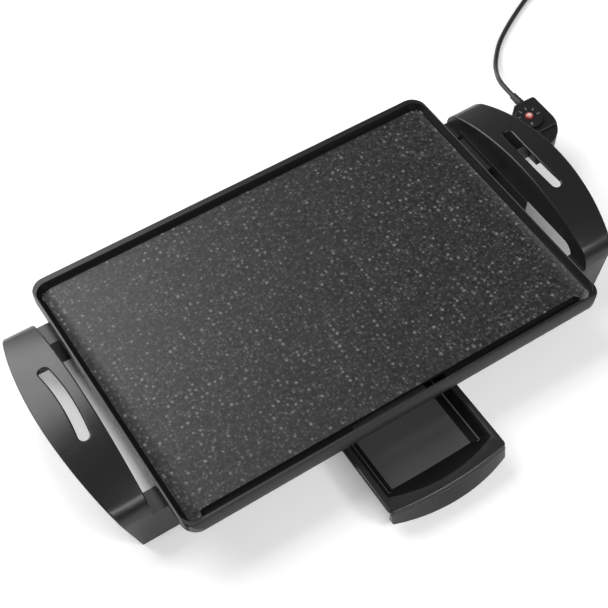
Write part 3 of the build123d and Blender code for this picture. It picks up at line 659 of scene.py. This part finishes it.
# Finishes of the CAD pieces that stay as they are
def wear(piece, material):
    """Give a piece one finish in place of whatever it had."""
    piece.data.materials.clear()
    piece.data.materials.append(material)


node_finishes = {
    element_steel: ["heating_element", "probe_stem"],
    plated_steel: ["terminal_pins", "handle_screws", "rail_screws", "tray_front_screws", "probe_screws"],
    guard_steel: ["terminal_guard", "left_tray_rail", "right_tray_rail"],
    contact_brass: ["probe_contacts", "plug_blades"],
    foot_rubber: ["rubber_feet"],
    tie_plastic: ["coil_tie"],
    ceramic: ["thermostat"],
    lamp_glass: ["neon_lamp"],
    lens_red: ["indicator_lens"],
}
for material, nodes in node_finishes.items():
    for node in nodes:
        wear(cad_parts[node], material)

# Light: a dim white sky that is bright at the horizon, and three soft lights
white = (1, 1, 1, 1)
sky_brightness = 0.13
horizon_brightness = 1.0
plate_middle = (0, 0, 0.05)
tray_middle = (0, -0.2, 0.03)

world = bpy.data.worlds.new("studio")
scene.world = world
world.use_nodes = True
sky = world.node_tree
direction = add_node(sky, "ShaderNodeTexCoord").outputs["Generated"]
dimmed = ramp(sky, split(sky, direction)["Z"], 0.01, 0.06, horizon_brightness, sky_brightness)
sky.links.new(dimmed, sky.nodes["Background"].inputs["Strength"])
sky.nodes["Background"].inputs["Color"].default_value = white


def softbox(name, place, aim, width, height, watts, roll=0.0):
    """A rectangular soft light that points at a place, rolled by some degrees, and isn't seen itself."""
    data = bpy.data.lights.new(name, "AREA")
    data.shape = "RECTANGLE"
    data.size = width
    data.size_y = height
    data.energy = watts
    lamp = bpy.data.objects.new(name, data)
    lamp.location = place
    facing = (Vector(aim) - Vector(place)).to_track_quat("-Z", "Y").to_matrix()
    lamp.rotation_euler = (facing @ Matrix.Rotation(radians(roll), 3, "Z")).to_euler()
    lamp.visible_camera = False
    scene.collection.objects.link(lamp)


softbox("back_softbox", (-0.55, 1.27, 1.12), plate_middle, width=1.7, height=1.75, watts=45.0, roll=-15.0)
softbox("front_strip", (0.2, -1.15, 1.27), plate_middle, width=1.5, height=0.35, watts=12.0)
softbox("front_spot", (0.58, -1.22, 1.26), tray_middle, width=0.35, height=0.2, watts=4.5)

# Floor
floor_half_size = 6.0
floor_drop = 0.2 * mm
near_distance = 0.8
far_distance = 2.6
near_lift = 0.28
far_lift = 0.8
# Footprint under the griddle where the floor is left darker as painted shade
painted_shade_x = (-0.206, 0.262)
painted_shade_y = (-0.07, 0.112)


def table_finish(name):
    """A pale table, lifted towards white where it is seen, more so far away, and left unlifted under the
    griddle as painted shade.
    """
    material, tree, shader, coordinates = start_finish(name)
    vector = coordinates["Object"]
    spot = split(tree, vector)
    pale = mix_colours(tree, noise(tree, vector, 3.0), grey(0.86), grey(0.9))
    tree.links.new(pale, shader.inputs["Base Color"])
    shader.inputs["Roughness"].default_value = 0.7
    ray = add_node(tree, "ShaderNodeLightPath").outputs
    seen = combine(tree, "MAXIMUM", ray["Is Camera Ray"], ray["Is Glossy Ray"])
    shown = combine(tree, "MAXIMUM", seen, ray["Is Transmission Ray"])
    distance = add_node(tree, "ShaderNodeVectorMath", {0: vector}, operation="LENGTH").outputs["Value"]
    whiter = ramp(tree, distance, near_distance, far_distance, near_lift, far_lift)
    # Under the griddle's footprint the lift is left out, so the floor there is painted shade
    across = within(tree, spot["X"], painted_shade_x, 0.008)
    along = within(tree, spot["Y"], painted_shade_y, 0.012)
    outside_painted_shade = mix_values(tree, product(tree, across, along), 1.0, 0.0)
    lift = product(tree, shown, product(tree, whiter, outside_painted_shade))
    shader.inputs["Emission Color"].default_value = white
    tree.links.new(lift, shader.inputs["Emission Strength"])
    return material


floor_shape = bmesh.new()
bmesh.ops.create_grid(floor_shape, x_segments=1, y_segments=1, size=floor_half_size)
bmesh.ops.translate(floor_shape, vec=(0, 0, -floor_drop), verts=floor_shape.verts)
floor_mesh = bpy.data.meshes.new("floor")
floor_shape.to_mesh(floor_mesh)
floor_shape.free()
floor = bpy.data.objects.new("floor", floor_mesh)
scene.collection.objects.link(floor)
wear(floor, table_finish("white_table"))
